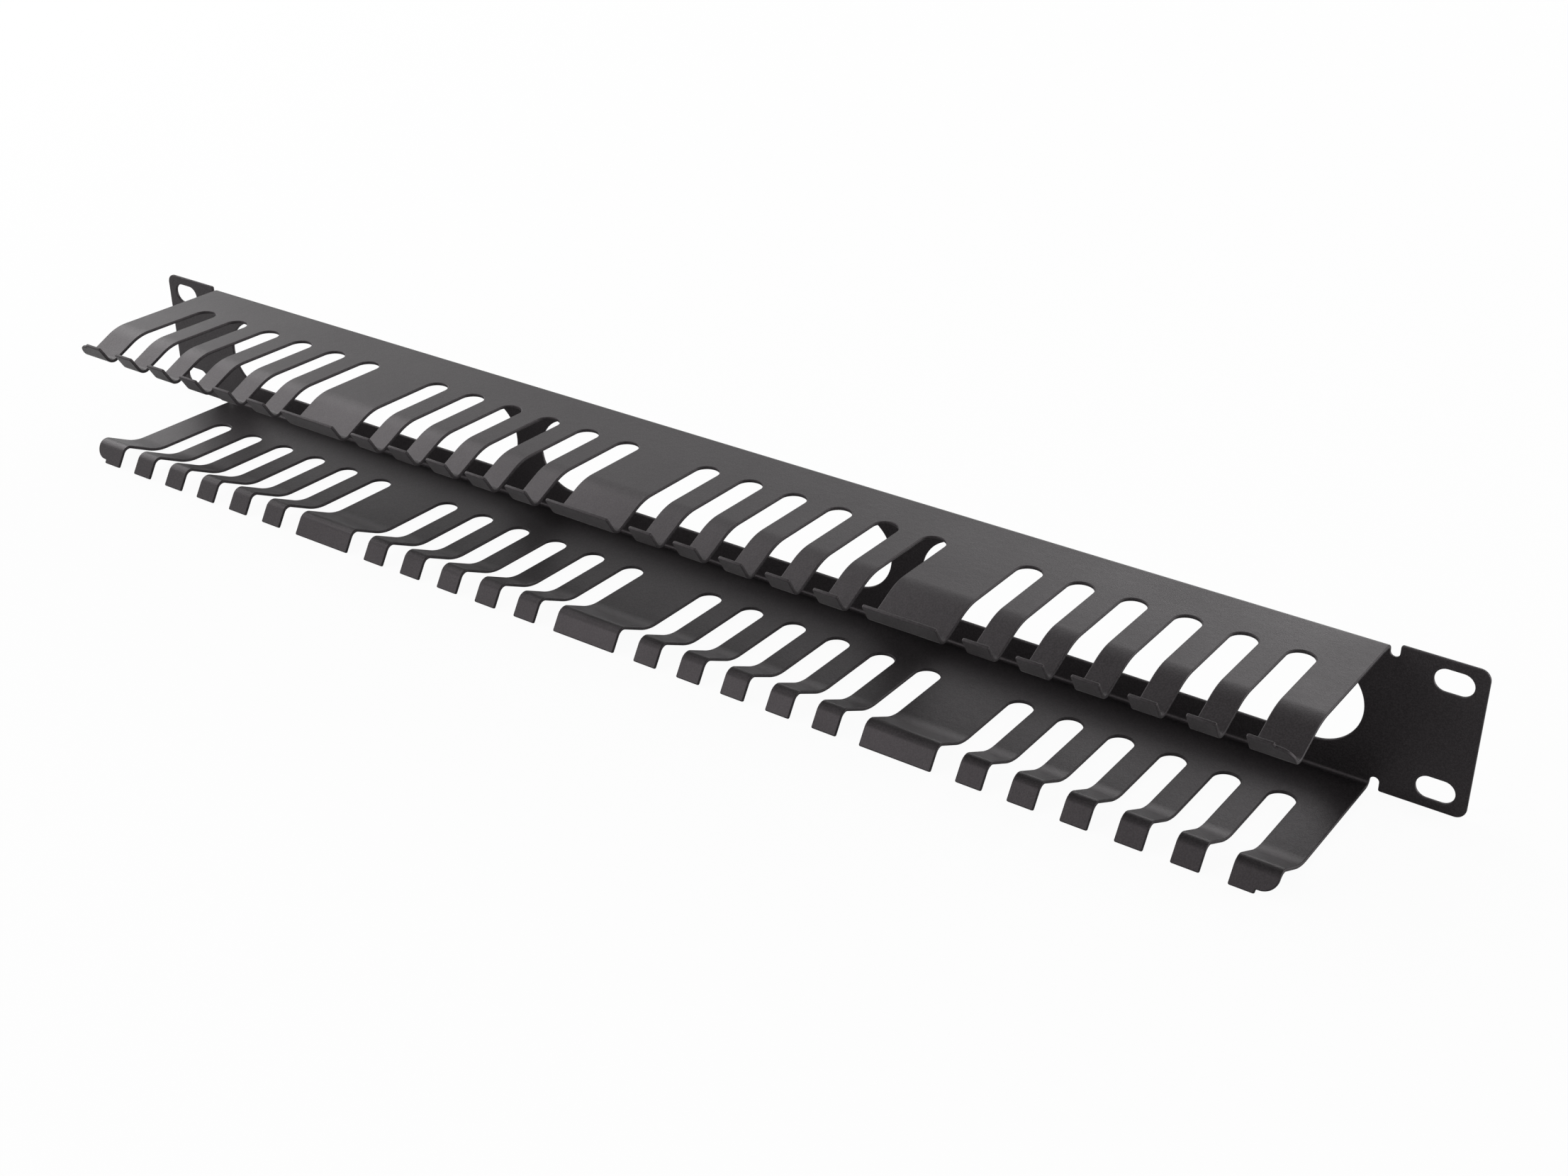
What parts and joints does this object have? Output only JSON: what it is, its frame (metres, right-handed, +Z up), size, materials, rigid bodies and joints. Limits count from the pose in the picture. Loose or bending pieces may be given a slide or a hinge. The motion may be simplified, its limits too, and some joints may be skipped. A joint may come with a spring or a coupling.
{
  "type": "rack cable manager",
  "caption": "Rack cable manager folded from sheet steel: back plate with long cable holes, slotted ears, and comb fingers with turned lips along its top and bottom flanges.",
  "frame": {"origin": "middle of the rear face, midway between the ears' screw slots and at half height", "axes": "+X along the panel to the right as seen from the front, -Y forward out of the rack, +Z up"},
  "size_m": [0.4826, 0.0616, 0.0436],
  "materials": {
    "powder_coated_steel": "satin black powder coat with a fine texture"
  },
  "bodies": {
    "root": {"cable_manager": "powder_coated_steel"}
  },
  "joints": []
}
